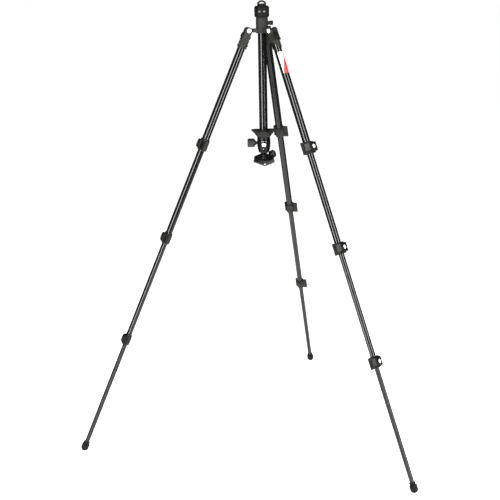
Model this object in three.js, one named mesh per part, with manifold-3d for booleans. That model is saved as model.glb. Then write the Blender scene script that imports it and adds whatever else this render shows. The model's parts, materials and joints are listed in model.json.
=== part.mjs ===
// Travel tripod, fully open, with its centre column turned over so that the ball head hangs below the shoulder.
// Units are millimetres, +Z is up and the floor is z = 0. Row +X points right of the rear leg (leg C, +Y side).
import * as THREE from 'three';
import { mergeVertices } from 'three/addons/utils/BufferGeometryUtils.js';
import Module from 'manifold-3d';

const wasm = await Module();
wasm.setup();

// Driving dimensions
const PIVOT_HEIGHT = 1263;
const PIVOT_RADIUS = 41.3;
const LEG_ANGLE = 23.68;
const LEG_AZIMUTHS = { a: 210, b: 330, c: 90 };
const TUBE_R = [11.25, 9.7, 8.1, 6.75];
const TUBE_BORE_R = [10.05, 8.5, 7.05, 5.6];
const TUBE_TOP_S = [31, 309, 608, 943];
const TUBE_END_S = [362, 663, 1001, 1362];
const LOCK_S = [354.5, 655.4, 994.3];
const LOCK_HALF = [21, 20.5, 20];
const COLLAR_WALL = 3.25;
const CLAMP_EAR = 11.5;
const LEVER_HALF = 13.5;
const LEVER_REACH = 5.5;
const FOOT_TOP_S = 1349;
const FOOT_R = 11.25;
const FOOT_CENTRE_S = 1369;
const COLUMN_R = 12.5;
const COLUMN_BORE_R = 10.9;
const COLUMN_CLEAR_R = 12.85;
const VIEW_TURN = 17;
const BALL_H = -350;
const BALL_R = 15;
const HEAD_TILT = 12;
const CLAMP_TURN = 45;
const KNOB_AZIMUTH = 197;
const CAP_AZIMUTH = 287;
const SIDE_KNOB_AZIMUTH = 30;
const SEGMENTS = 16;
const CENTRE_SEGMENTS = 24;

const rad = (degrees) => degrees * Math.PI / 180;

const LOOKS = {
  casting: [0x4b4c48, 0.55, 0.35],
  tube: [0x1b1b1b, 0.28, 0.75],
  rubber: [0x141414, 0.85, 0],
  plastic: [0x262626, 0.6, 0],
  head: [0x202020, 0.4, 0.5],
  silver: [0xd2d2d0, 0.22, 0.95],
  steel: [0x8c8c8a, 0.3, 0.9],
};

// Geometry helpers. Every solid is a closed, outward-facing BufferGeometry.

function signedVolume(position, index) {
  const a = new THREE.Vector3();
  const b = new THREE.Vector3();
  const c = new THREE.Vector3();
  let total = 0;
  for (let i = 0; i < index.length; i += 3) {
    a.fromArray(position, 3 * index[i]);
    b.fromArray(position, 3 * index[i + 1]);
    c.fromArray(position, 3 * index[i + 2]);
    total += a.dot(b.cross(c));
  }
  return total;
}

function toManifold(geometry) {
  const bare = geometry.clone();
  bare.deleteAttribute('normal');
  bare.deleteAttribute('uv');
  const merged = mergeVertices(bare, 1e-4);
  const vertProperties = new Float32Array(merged.attributes.position.array);
  const triVerts = [];
  const index = merged.index.array;
  for (let i = 0; i < index.length; i += 3) {
    const [a, b, c] = [index[i], index[i + 1], index[i + 2]];
    if (a !== b && b !== c && c !== a) {
      triVerts.push(a, b, c);
    }
  }
  if (signedVolume(vertProperties, triVerts) < 0) {
    triVerts.reverse();
  }
  return new wasm.Manifold(new wasm.Mesh({ numProp: 3, vertProperties, triVerts: new Uint32Array(triVerts) }));
}

function fromManifold(solid) {
  const mesh = solid.getMesh();
  const geometry = new THREE.BufferGeometry();
  const position = new Float32Array(mesh.numVert * 3);
  for (let i = 0; i < mesh.numVert; i += 1) {
    for (let k = 0; k < 3; k += 1) {
      position[3 * i + k] = mesh.vertProperties[mesh.numProp * i + k];
    }
  }
  geometry.setAttribute('position', new THREE.BufferAttribute(position, 3));
  geometry.setIndex(new THREE.BufferAttribute(new Uint32Array(mesh.triVerts), 1));
  return geometry;
}

function join(...parts) {
  return fromManifold(parts.map(toManifold).reduce((sum, part) => sum.add(part)));
}

function cut(base, ...tools) {
  return fromManifold(tools.map(toManifold).reduce((left, tool) => left.subtract(tool), toManifold(base)));
}

function common(a, b) {
  return fromManifold(toManifold(a).intersect(toManifold(b)));
}

function move(geometry, x, y, z) {
  return geometry.clone().translate(x, y, z);
}

// A closed profile of [radius, z] points turned about Z. shape(angle, z) scales the radius.
function turned(profile, segments = SEGMENTS, shape = null) {
  const points = profile.map(([r, z]) => new THREE.Vector2(r, z));
  const geometry = new THREE.LatheGeometry(points, segments);
  geometry.rotateX(Math.PI / 2);
  if (shape) {
    const position = geometry.attributes.position;
    for (let i = 0; i < position.count; i += 1) {
      const x = position.getX(i);
      const y = position.getY(i);
      const k = shape(Math.atan2(y, x), position.getZ(i), Math.hypot(x, y));
      position.setXY(i, x * k, y * k);
    }
  }
  return geometry;
}

function rod(r, z0, z1, segments = SEGMENTS) {
  return turned([[0, z0], [r, z0], [r, z1], [0, z1]], segments);
}

function ring(inner, outer, z0, z1, segments = SEGMENTS) {
  return turned([[inner, z0], [outer, z0], [outer, z1], [inner, z1], [inner, z0]], segments);
}

function block(x0, x1, y0, y1, z0, z1) {
  const geometry = new THREE.BoxGeometry(x1 - x0, y1 - y0, z1 - z0);
  return geometry.translate((x0 + x1) / 2, (y0 + y1) / 2, (z0 + z1) / 2);
}

// A polygon of [x, y] points raised from z0 to z1
function prism(points, z0, z1) {
  const shape = new THREE.Shape(points.map(([x, y]) => new THREE.Vector2(x, y)));
  const geometry = new THREE.ExtrudeGeometry(shape, { depth: z1 - z0, bevelEnabled: false });
  return geometry.translate(0, 0, z0);
}

// A polygon of [x, z] points drawn out along Y from y0 to y1
function prismAlongY(points, y0, y1) {
  const geometry = prism(points.map(([x, z]) => [x, -z]), y0, y1);
  return geometry.rotateX(-Math.PI / 2);
}

function alongX(geometry) {
  return geometry.clone().rotateY(Math.PI / 2);
}

function alongY(geometry) {
  return geometry.clone().rotateX(-Math.PI / 2);
}

function polar(r, degrees) {
  return [r * Math.cos(rad(degrees)), r * Math.sin(rad(degrees))];
}

function arc(r, from, to, steps) {
  const points = [];
  for (let i = 0; i <= steps; i += 1) {
    points.push(polar(r, from + (to - from) * i / steps));
  }
  return points;
}

function roundedOutline(halfX, halfY, r) {
  const points = [];
  const corners = [[1, 1, 0], [-1, 1, 90], [-1, -1, 180], [1, -1, 270]];
  for (const [sx, sy, start] of corners) {
    for (const [x, y] of arc(r, start, start + 90, 3)) {
      points.push([sx * (halfX - r) + x, sy * (halfY - r) + y]);
    }
  }
  return points;
}

function node(name, look, geometry) {
  const [color, roughness, metalness] = LOOKS[look];
  const mesh = new THREE.Mesh(geometry, new THREE.MeshStandardMaterial({ color, roughness, metalness }));
  mesh.name = name;
  return mesh;
}

// Leg pieces, in the leg's own frame: origin on the pivot, -Z down the leg, +X on the outer side.

function legCasting() {
  const eyes = alongY(rod(10, -13, 13));
  const neck = block(-10, 10, -13, 13, -30, 0);
  const barrel = rod(13.75, -58, -24);
  const stopNub = block(-12.6, -9, -6, 6, -19, -12);
  const lugSlot = block(-16, 16, -7.3, 7.3, -8.6, 14);
  const boltHole = alongY(rod(4.3, -15, 15, 12));
  const tabChannel = block(8.2, 18, -9.4, 9.4, -33, -8.7);
  const tubeSocket = rod(TUBE_R[0] + 0.05, -60, -30.5);
  const sideArch = join(alongY(rod(8, -20, -6, 16)).translate(0, 0, -50), block(-8, 8, -20, -6, -62, -50));
  return cut(join(eyes, neck, barrel, stopNub), lugSlot, boltHole, tabChannel, tubeSocket, sideArch);
}

function pivotBolt() {
  const shaft = rod(3.95, -15, 15, 12);
  const head = [[0, 13.3], [6.2, 13.3], [6.2, 14.6], [5.6, 15.3], [0, 15.3]];
  const caps = [turned(head), turned(head).rotateX(Math.PI)];
  const coinSlots = [block(-7, 7, -0.8, 0.8, 14.4, 16), block(-7, 7, -0.8, 0.8, -16, -14.4)];
  return alongY(cut(join(shaft, ...caps), ...coinSlots));
}

function stopTab() {
  const body = prismAlongY([[8.5, -9.4], [13.2, -10.4], [14.6, -25.5], [12.6, -27], [8.5, -27]], -9, 9);
  const grooves = [-13.5, -16.5, -19.5, -22.5].map((z) => block(12.9, 18, -7.5, 7.5, z - 0.7, z + 0.7));
  return cut(body, ...grooves);
}

function legTube(i) {
  const [r, bore, top, end] = [TUBE_R[i], TUBE_BORE_R[i], -TUBE_TOP_S[i], -TUBE_END_S[i]];
  if (i === 0) {
    return ring(bore, r, end, top);
  }
  const guide = TUBE_BORE_R[i - 1] - 0.1;
  return turned([
    [bore, end], [r, end], [r, top - 22], [guide, top - 21], [guide, top], [bore, top], [bore, end],
  ]);
}

// Where the lever of lock i hinges, beside its collar
function leverHinge(i) {
  return [4, TUBE_R[i] + COLLAR_WALL + 2.9];
}

function lockCollar(i) {
  const upper = TUBE_R[i];
  const lower = TUBE_R[i + 1];
  const outer = upper + COLLAR_WALL;
  const half = LOCK_HALF[i];
  const step = TUBE_END_S[i] - LOCK_S[i] + 0.1;
  const [x, y] = leverHinge(i);
  const parts = [
    turned([
      [upper + 0.05, half], [outer, half], [outer, 1.5 - half], [outer - 1.5, -half],
      [lower + 0.35, -half], [lower + 0.35, -step], [upper + 0.05, -step], [upper + 0.05, half],
    ]),
    prism([...arc(outer + 2.6, -86, -26, 6), ...arc(outer - 1, -26, -86, 6)], -9, 12),
    block(-1.5, 3.5, -outer - CLAMP_EAR, -upper - 2, 1 - half, half - 1),
    move(rod(1.4, -15, 15, 8), x, y, 0),
  ];
  for (const [z0, z1] of [[LEVER_HALF + 0.3, LEVER_HALF + 3.3], [-LEVER_HALF - 3.3, -LEVER_HALF - 0.3]]) {
    parts.push(move(rod(2.9, z0, z1, 10), x, y, 0));
    parts.push(block(x - 2.85, x + 2.85, upper + 1, y, z0, z1));
  }
  const clearBore = rod(upper + 0.05, -step, half + 1);
  const frontOutline = [...arc(outer + 1, -72, 68, 8), ...arc(upper + 1.7, 68, -72, 8)];
  const shell = cut(parts.shift(), prism(frontOutline, 12.4, half + 1), prism(frontOutline, -half - 1, -9.4));
  return cut(join(shell, ...parts), clearBore).translate(0, 0, -LOCK_S[i]);
}

function lockLever(i) {
  const outer = TUBE_R[i] + COLLAR_WALL;
  const [x, y] = leverHinge(i);
  const reach = outer + LEVER_REACH;
  const knuckle = arc(6, 90, 0, 4).map(([dx, dy]) => [reach - 6 + dx, y - 4.5 + dy]);
  const outline = [
    [x, y + 2.8], ...knuckle, [reach, -4], [reach - 3, -7], ...arc(outer + 0.45, -20, 70, 8),
  ];
  const round = 6;
  const sideOutline = [[-5, LEVER_HALF], ...arc(round, 90, 0, 4).map(([dx, dz]) => [
    reach - round + dx, LEVER_HALF - round + dz])];
  const mirrored = sideOutline.map(([px, pz]) => [px, -pz]).reverse();
  const plate = common(prism(outline, -LEVER_HALF, LEVER_HALF), prismAlongY([...sideOutline, ...mirrored], -40, 40));
  const body = join(plate, move(rod(2.9, -LEVER_HALF, LEVER_HALF, 10), x, y, 0));
  const bore = move(rod(1.7, -LEVER_HALF - 1, LEVER_HALF + 1, 8), x, y, 0);
  const pocket = block(outer - 5, reach - 2.5, -2.5, y - 7, 5 - LEVER_HALF, LEVER_HALF - 5);
  return cut(body, bore, pocket).translate(0, 0, -LOCK_S[i]);
}

function foot(worldToLeg) {
  const top = -FOOT_TOP_S;
  const centre = -FOOT_CENTRE_S;
  const dome = [];
  for (const angle of [-90, -65, -40, -20]) {
    const [r, z] = polar(FOOT_R, angle);
    dome.push([r, centre + z]);
  }
  dome[0][0] = 0;
  const body = turned([
    ...dome, [FOOT_R, centre], [FOOT_R, top - 8.5], [8.4, top - 7], [8.4, top - 4.5], [9.5, top - 3.5],
    [9.5, top - 0.8], [8.6, top], [0, top],
  ]);
  const socket = rod(TUBE_R[3] + 0.05, -TUBE_END_S[3] - 0.1, top + 5);
  const floor = block(-800, 800, -800, 800, -40, 0).applyMatrix4(worldToLeg);
  return cut(body, socket, floor);
}

function legGroup(id) {
  const azimuth = rad(LEG_AZIMUTHS[id]);
  const group = new THREE.Group();
  group.name = `leg_${id}`;
  const [x, y] = polar(PIVOT_RADIUS, LEG_AZIMUTHS[id]);
  group.position.set(x, y, PIVOT_HEIGHT);
  group.rotation.set(0, -rad(LEG_ANGLE), azimuth, 'ZYX');
  group.updateMatrix();
  const worldToLeg = group.matrix.clone().invert();
  group.add(node(`leg_${id}_casting`, 'casting', legCasting()));
  group.add(node(`leg_${id}_stop_tab`, 'plastic', stopTab()));
  group.add(node(`leg_${id}_pivot_bolt`, 'silver', pivotBolt()));
  for (let i = 0; i < 4; i += 1) {
    group.add(node(`leg_${id}_tube_${i + 1}`, 'tube', legTube(i)));
  }
  for (let i = 0; i < 3; i += 1) {
    group.add(node(`leg_${id}_lock_${i + 1}_collar`, 'casting', lockCollar(i)));
    group.add(node(`leg_${id}_lock_${i + 1}_lever`, 'plastic', lockLever(i)));
  }
  group.add(node(`leg_${id}_foot`, 'rubber', foot(worldToLeg)));
  return group;
}

// Centre pieces, in a frame on the column axis with z = 0 at the height of the leg pivots.

function spider() {
  const parts = [rod(18.5, -8, 6, CENTRE_SEGMENTS)];
  for (const azimuth of Object.values(LEG_AZIMUTHS)) {
    const arm = block(10, PIVOT_RADIUS, -7, 7, -5.2, 5.2);
    const lug = alongY(rod(8, -7, 7)).translate(PIVOT_RADIUS, 0, 0);
    parts.push(arm.rotateZ(rad(azimuth)), lug.rotateZ(rad(azimuth)));
  }
  const holes = [rod(COLUMN_CLEAR_R, -20, 20, CENTRE_SEGMENTS)];
  for (const azimuth of Object.values(LEG_AZIMUTHS)) {
    holes.push(alongY(rod(4.2, -12, 12, 12)).translate(PIVOT_RADIUS, 0, 0).rotateZ(rad(azimuth)));
  }
  return cut(join(...parts), ...holes);
}

function columnHousing() {
  const body = turned([
    [COLUMN_CLEAR_R, 6.05], [17.5, 6.05], [17.5, 34.5], [16.8, 36], [16.8, 36.6], [15.2, 36.6], [15.2, 62],
    [COLUMN_CLEAR_R, 62], [COLUMN_CLEAR_R, 6.05],
  ], CENTRE_SEGMENTS);
  const boss = alongX(rod(6, 15, 19.5, 16)).translate(0, 0, 20).rotateZ(rad(SIDE_KNOB_AZIMUTH));
  const knobHole = alongX(rod(3.3, 10, 25, 16)).translate(0, 0, 20).rotateZ(rad(SIDE_KNOB_AZIMUTH));
  return cut(join(body, boss), rod(COLUMN_CLEAR_R, 0, 70, CENTRE_SEGMENTS), knobHole);
}

function twistCollar() {
  const grip = (angle, z, r) => (r > 18 ? 1 - 0.035 * (0.5 - 0.5 * Math.cos(9 * angle)) : 1);
  return turned([
    [15.5, 37], [18.4, 37], [20.6, 38.5], [21.6, 41.5], [21.8, 46], [20.9, 48], [20.9, 50], [21.8, 52],
    [21.8, 62.5], [21, 66.5], [18.6, 69], [COLUMN_CLEAR_R, 69], [COLUMN_CLEAR_R, 62.4], [15.5, 62.4],
    [15.5, 37],
  ], 27, grip);
}

function sideKnob() {
  const knob = turned([
    [0, 13.3], [3, 13.3], [3, 20.2], [4.3, 20.2], [4.3, 24.5], [5.6, 25.3], [5.6, 31.6], [4.8, 32.5], [0, 32.5],
  ], 16);
  return alongX(knob).translate(0, 0, 20).rotateZ(rad(SIDE_KNOB_AZIMUTH));
}

function endCap() {
  return turned([[0, 69.3], [13.2, 69.3], [13.2, 70.6], [12.2, 71.3], [0, 71.3]], CENTRE_SEGMENTS);
}

function hookRing() {
  const torus = new THREE.TorusGeometry(11, 2, 8, 20).rotateX(Math.PI / 2).scale(1, 1, 0.82);
  const arch = common(torus, block(-20, 20, -5, 5, 0, 20)).translate(0, 0, 73);
  const bar = alongX(rod(1.6, -11.6, 11.6, 12)).translate(0, 0, 73.2);
  const swivel = rod(4.2, 71.5, 74.6, 16);
  return join(arch, bar, swivel).rotateZ(rad(VIEW_TURN));
}

function lobed(angle, z, r) {
  if (r < 23) {
    return 1;
  }
  const lobe = Math.pow(0.5 + 0.5 * Math.cos(3 * (angle - rad(30 + VIEW_TURN))), 1.1);
  return (23 + (r - 23) * (0.07 + 0.93 * lobe)) / r;
}

function platform() {
  return turned([
    [0, -311.5], [19.8, -311.5], [20.6, -310], [33, -300], [41, -293.6], [41, -291.6], [38, -291.6],
    [30, -295.5], [18, -297], [15, -293.2], [0, -293.2],
  ], 36, lobed);
}

function panBase() {
  return turned([[0, -316.2], [19.3, -316.2], [19.3, -312.4], [18.4, -311.6], [0, -311.6]], CENTRE_SEGMENTS);
}

function ballHousing() {
  const shell = turned([
    [0, -358], [14.9, -358], [16.2, -355], [17.9, -348.5], [19.2, -340], [19.9, -332], [19.9, -318],
    [19.2, -316.5], [0, -316.5],
  ], CENTRE_SEGMENTS);
  const cavity = new THREE.SphereGeometry(BALL_R + 0.5, 20, 12).rotateX(Math.PI / 2).translate(0, 0, BALL_H);
  const notch = block(-6.4, 6.4, 0, 30, -364, BALL_H).rotateZ(rad(VIEW_TURN));
  const knobHole = alongX(rod(4.3, 10, 24)).translate(0, 0, -329.5).rotateZ(rad(KNOB_AZIMUTH));
  const capHole = alongX(rod(3.3, 16.5, 24, 16)).translate(0, 0, -333).rotateZ(rad(CAP_AZIMUTH));
  return cut(shell, cavity, notch, knobHole, capHole);
}

function mainKnob() {
  const knurl = (angle, z, r) => (r > 12 && z > 27 ? 1 - 0.02 * (0.5 - 0.5 * Math.cos(12 * angle)) : 1);
  const knob = turned([
    [0, 11], [4, 11], [4, 20.5], [4.8, 21.2], [5.2, 23.2], [12.4, 29], [13, 30], [13, 47.6], [12, 48.6], [0, 48.6],
  ], 24, knurl);
  return alongX(knob).translate(0, 0, -329.5).rotateZ(rad(KNOB_AZIMUTH));
}

function panKnob() {
  const cap = turned([
    [0, 17], [3, 17], [3, 20.2], [6.1, 20.2], [6.1, 21.4], [5.4, 22.1], [0, 22.1],
  ]);
  const slotted = cut(cap, block(-0.6, 0.6, -8, 8, 21.3, 23));
  return alongX(slotted).translate(0, 0, -333).rotateZ(rad(CAP_AZIMUTH));
}

// Head pieces below the ball, in the clamp's frame: origin at the ball centre, -Z down the stem.

function ballStem() {
  const ball = new THREE.SphereGeometry(BALL_R, 20, 10).rotateX(Math.PI / 2);
  const stem = turned([[0, -22], [9, -22], [9, -20.4], [6, -18.6], [6, -10], [0, -10]]);
  return join(ball, stem);
}

function clampBody() {
  const profile = [[-23.5, -22.3], [13.6, -22.3], [13.6, -30], [-20, -30], [-17, -36], [-23.5, -36]];
  const outline = prism(roundedOutline(23.5, 22, 5), -40, -20);
  const body = common(prismAlongY(profile, -22, 22), outline);
  const levelCorner = prism([[-24.5, 3.5], [3.5, -24.5], [-30, -30]], -41, -20);
  const lowStep = prism([[-34, 35], [35, -34], [-34, -34]], -27, -20);
  const boss = turned([[0, -22.3], [9.8, -22.3], [11, -26], [13, -27.5], [0, -27.5]]);
  return cut(join(cut(body, levelCorner, lowStep), boss), alongX(rod(3.4, 3, 20, 16)).translate(0, 0, -26.4));
}

function clampJaw() {
  const profile = [[14, -22.3], [21.5, -22.3], [23.5, -25], [23.5, -36], [17, -36], [20, -30], [14, -30]];
  const outline = prism(roundedOutline(23.5, 22, 5), -40, -20);
  const jaw = common(prismAlongY(profile, -22, 22), outline);
  return cut(jaw, alongX(rod(3.4, 10, 30, 16)).translate(0, 0, -26.4));
}

function clampKnob() {
  const knurl = (angle, z, r) => (r > 9 ? 1 - 0.04 * (0.5 - 0.5 * Math.cos(10 * angle)) : 1);
  const knob = turned([
    [0, 5], [3, 5], [3, 27.2], [5.5, 27.2], [7, 31], [10, 31.6], [10.5, 32.6], [10.5, 41.4], [9.5, 42.4], [0, 42.4],
  ], 20, knurl);
  return alongX(knob).translate(0, 0, -26.4);
}

function quickReleasePlate() {
  const profile = [
    [-19.4, -30.4], [19.4, -30.4], [16.4, -36.4], [22, -36.4], [22, -42], [-22, -42], [-22, -36.4], [-16.4, -36.4],
  ];
  const outline = prism(roundedOutline(22, 25, 4), -50, -20);
  const body = common(prismAlongY(profile, -25, 25), outline);
  return cut(body, rod(3.6, -50, -20), rod(7.6, -34.6, -20));
}

function cameraScrew() {
  return turned([[0, -47.4], [2.6, -47.4], [3.15, -46.8], [3.15, -34.2], [7.1, -34.2], [7.1, -31.4], [0, -31.4]]);
}

function headGroup() {
  const tilt = new THREE.Group();
  tilt.name = 'head_lower';
  const turn = new THREE.Matrix4().makeRotationZ(rad(VIEW_TURN));
  turn.multiply(new THREE.Matrix4().makeRotationX(rad(HEAD_TILT)));
  turn.multiply(new THREE.Matrix4().makeRotationZ(rad(CLAMP_TURN)));
  tilt.quaternion.setFromRotationMatrix(turn);
  tilt.position.set(0, 0, BALL_H);
  tilt.add(node('head_ball_stem', 'silver', ballStem()));
  tilt.add(node('clamp_body', 'head', clampBody()));
  tilt.add(node('clamp_jaw', 'head', clampJaw()));
  tilt.add(node('clamp_knob', 'rubber', clampKnob()));
  tilt.add(node('quick_release_plate', 'head', quickReleasePlate()));
  tilt.add(node('camera_screw', 'steel', cameraScrew()));
  return tilt;
}

function centreGroup() {
  const centre = new THREE.Group();
  centre.name = 'centre';
  centre.position.set(0, 0, PIVOT_HEIGHT);
  centre.add(node('spider', 'casting', spider()));
  centre.add(node('column_housing', 'casting', columnHousing()));
  centre.add(node('twist_collar', 'rubber', twistCollar()));
  centre.add(node('side_knob', 'plastic', sideKnob()));
  centre.add(node('column_tube', 'tube', ring(COLUMN_BORE_R, COLUMN_R, -293, 69.2, CENTRE_SEGMENTS)));
  centre.add(node('column_end_cap', 'plastic', endCap()));
  centre.add(node('hook_ring', 'plastic', hookRing()));
  centre.add(node('platform', 'casting', platform()));
  centre.add(node('head_pan_base', 'head', panBase()));
  centre.add(node('head_ball_housing', 'head', ballHousing()));
  centre.add(node('head_main_knob', 'rubber', mainKnob()));
  centre.add(node('head_pan_knob', 'silver', panKnob()));
  centre.add(headGroup());
  return centre;
}

const tripod = new THREE.Group();
tripod.name = 'tripod';
tripod.add(centreGroup());
for (const id of Object.keys(LEG_AZIMUTHS)) {
  tripod.add(legGroup(id));
}

// The row's origin is the middle of the bounding box's bottom face.
const box = new THREE.Box3().setFromObject(tripod, true);
tripod.position.set(-(box.min.x + box.max.x) / 2, -(box.min.y + box.max.y) / 2, -box.min.z);
tripod.updateMatrixWorld(true);

export default tripod;
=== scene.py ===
import json
import math

import bmesh
import bpy
from mathutils import Matrix, Vector


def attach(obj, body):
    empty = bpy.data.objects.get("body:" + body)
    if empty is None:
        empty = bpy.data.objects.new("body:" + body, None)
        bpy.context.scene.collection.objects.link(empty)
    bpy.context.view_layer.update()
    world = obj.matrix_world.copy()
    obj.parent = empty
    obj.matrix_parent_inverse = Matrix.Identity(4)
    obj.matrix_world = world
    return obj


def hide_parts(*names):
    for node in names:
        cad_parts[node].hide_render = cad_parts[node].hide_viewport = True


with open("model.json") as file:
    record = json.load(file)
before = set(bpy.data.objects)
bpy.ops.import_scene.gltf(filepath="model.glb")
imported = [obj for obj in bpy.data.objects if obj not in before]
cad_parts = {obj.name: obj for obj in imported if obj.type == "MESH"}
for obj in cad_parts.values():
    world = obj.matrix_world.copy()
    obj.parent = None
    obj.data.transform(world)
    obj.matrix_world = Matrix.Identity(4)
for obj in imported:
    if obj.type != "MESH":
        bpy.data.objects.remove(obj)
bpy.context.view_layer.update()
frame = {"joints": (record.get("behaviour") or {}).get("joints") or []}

JOINTS = {joint["name"]: joint for joint in frame["joints"]}
LEGS = ("a", "b", "c")
PIVOT_TO_COLLAR_M = 0.053

# The way that the camera looks, in degrees anticlockwise from +Y. The hook, the platform's corners, the ball's
# notch and the twist collar's painted highlights are turned to suit.
VIEW_TURN = 17.0

# Leg dimensions in millimetres, with places measured down the leg from the pivot. The collars are a little
# shorter than the CAD's, and the rest is the same. The casting's ears reach from CHEEK out to EAR_HALF.
TUBE_R = (11.25, 9.7, 8.1, 6.75)
TUBE_BORE_R = (10.05, 8.5, 7.05, 5.6)
TUBE_TOP = (31, 309, 608, 943)
TUBE_END = (362, 663, 1001, 1362)
LOCK_S = (354.5, 655.4, 994.3)
COLLAR_HALF = (17.5, 17, 16.5)
COLLAR_WALL, CLAMP_EAR = 3.25, 11.5
LEVER_HALF, LEVER_REACH, CAP_Y = 13.5, 5.5, 4.2
EAR_HALF, CHEEK = 13, 7.3
FOOT_TOP, FOOT_CENTRE, FOOT_R = 1349, 1369, 11.25
FLOOR_TILT = 23.68

# Centre and head, in millimetres above the pivots' plane, and in degrees about the column
ARM_AZIMUTHS = (210, 330, 90)
COLUMN_R, HOUSING_BORE_R, PIVOT_R = 12.5, 12.85, 41.3
SIDE_KNOB_Z, SIDE_KNOB_AZIMUTH = 20, 30
MAIN_KNOB_Z, MAIN_KNOB_AZIMUTH = -329.5, 197
PAN_KNOB_Z, PAN_KNOB_AZIMUTH = -333, 287
LOBE_AZIMUTH, PLATFORM_HUB_R = 30 + VIEW_TURN, 23
BALL_Z, BALL_R = -350, 15

# Clamp and plate, in millimetres from the ball's centre
CLAMP_SCREW_Z = -26.4
PLATE_HALF_X, PLATE_HALF_Y = 22, 25
PAD_Y, PLATE_SCREW_Y = 14.6, 17
THREAD_PITCH = 1.27


def rad(degrees):
    return math.radians(degrees)


def frame_of(x_axis, y_axis, origin):
    """A frame with the given X and Y, and Z square to both."""
    x, y = Vector(x_axis).normalized(), Vector(y_axis).normalized()
    z = x.cross(y)
    m = Matrix((x, y, z)).transposed().to_4x4()
    m.translation = Vector(origin)
    return m


def leg_frame(leg):
    """Origin on the pivot, -Z down the leg, +X on its outer side."""
    spread = JOINTS[f"leg_{leg}_spread"]
    z = Vector(JOINTS[f"leg_{leg}_slide_2"]["axis"])
    y = -Vector(spread["axis"])
    return frame_of(y.cross(z), y, spread["pos_m"])


# CENTRE has its origin on the column's axis, level with the pivots. HEAD has it at the ball's centre, with +X
# toward the clamp's knob and the plate below.
CENTRE = Matrix.Translation(Vector(JOINTS["collar_twist"]["pos_m"]) - Vector((0, 0, PIVOT_TO_COLLAR_M)))
HEAD = frame_of(
    JOINTS["clamp_knob_turn"]["axis"], JOINTS["plate_slide"]["axis"], JOINTS["ball_tilt"]["pos_m"])


def turned_z(degrees):
    return Matrix.Rotation(rad(degrees), 4, "Z")


def along_x(z_height, azimuth):
    """A frame whose +Z points out along a level direction, at a height on the column axis."""
    raised = CENTRE @ Matrix.Translation((0, 0, z_height / 1000))
    return raised @ turned_z(azimuth) @ Matrix.Rotation(rad(90), 4, "Y")


# ---------------------------------------------------------------- mesh making, in millimetres

def mesh_from(verts, faces):
    mesh = bpy.data.meshes.new("shape")
    mesh.from_pydata([tuple(v) for v in verts], [], faces)
    bm = bmesh.new()
    bm.from_mesh(mesh)
    bmesh.ops.remove_doubles(bm, verts=bm.verts, dist=1e-5)
    bmesh.ops.recalc_face_normals(bm, faces=bm.faces)
    bm.to_mesh(mesh)
    bm.free()
    return mesh


def polar(r, degrees):
    return (r * math.cos(rad(degrees)), r * math.sin(rad(degrees)))


def arc(r, start, end, steps, cx=0.0, cy=0.0):
    points = []
    for i in range(steps + 1):
        x, y = polar(r, start + (end - start) * i / steps)
        points.append((cx + x, cy + y))
    return points


def lathe(profile, seg, shape=None):
    """A solid turned about Z from (radius, z) points that start and end on the axis, or meet.

    shape(angle, z, radius) gives a factor for the radius at each point.
    """
    closed = profile[0] == profile[-1]
    rows = profile[:-1] if closed else profile
    verts, rings = [], []
    for r, z in rows:
        if r < 1e-6:
            rings.append([len(verts)] * seg)
            verts.append((0, 0, z))
            continue
        rings.append([len(verts) + k for k in range(seg)])
        for k in range(seg):
            a = 2 * math.pi * k / seg
            shaped = r * (shape(a, z, r) if shape else 1)
            verts.append((shaped * math.cos(a), shaped * math.sin(a), z))
    faces = []
    following = rings[1:] + ([rings[0]] if closed else [])
    for low, high in zip(rings, following):
        for k in range(seg):
            n = (k + 1) % seg
            face = list(dict.fromkeys((low[k], low[n], high[n], high[k])))
            if len(face) > 2:
                faces.append(face)
    return mesh_from(verts, faces)


def prism(outline, z0, z1):
    """(x, y) points drawn out along Z."""
    n = len(outline)
    verts = [(x, y, z0) for x, y in outline] + [(x, y, z1) for x, y in outline]
    faces = [list(range(n))[::-1], list(range(n, 2 * n))]
    faces += [[i, (i + 1) % n, n + (i + 1) % n, n + i] for i in range(n)]
    return mesh_from(verts, faces)


def pin(r, z0, z1, seg=32):
    """A plain solid cylinder on the Z axis."""
    return lathe([(0, z0), (r, z0), (r, z1), (0, z1)], seg)


def pipe(inner, outer, z0, z1, seg):
    """A plain hollow cylinder on the Z axis."""
    return lathe([(inner, z0), (outer, z0), (outer, z1), (inner, z1), (inner, z0)], seg)


def block(x0, x1, y0, y1, z0, z1):
    return prism([(x0, y0), (x1, y0), (x1, y1), (x0, y1)], z0, z1)


def rounded(half_x, half_y, r):
    """A rectangle with rounded corners."""
    points = []
    for sx, sy, start in ((1, 1, 0), (-1, 1, 90), (-1, -1, 180), (1, -1, 270)):
        points += arc(r, start, start + 90, 6, sx * (half_x - r), sy * (half_y - r))
    return points


def shifted(mesh, x=0.0, y=0.0, z=0.0):
    mesh.transform(Matrix.Translation((x, y, z)))
    return mesh


def spun(mesh, degrees, axis="Z"):
    mesh.transform(Matrix.Rotation(rad(degrees), 4, axis))
    return mesh


def along_y(mesh):
    """+Z of the mesh now points along +Y."""
    return spun(mesh, -90, "X")


def lying(mesh):
    """+Z of the mesh now points along +X."""
    return spun(mesh, 90, "Y")


def facing(mesh, z_height, azimuth):
    """+Z of the mesh now points out along a level direction, at a height on the axis."""
    return spun(shifted(lying(mesh), z=z_height), azimuth)


def prism_y(outline, y0, y1):
    """(x, z) points drawn out along Y."""
    return along_y(prism([(x, -z) for x, z in outline], y0, y1))


def group(*meshes):
    """Several shapes in one mesh, not merged."""
    bm = bmesh.new()
    for mesh in meshes:
        bm.from_mesh(mesh)
    out = bpy.data.meshes.new("group")
    bm.to_mesh(out)
    bm.free()
    return out


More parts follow.
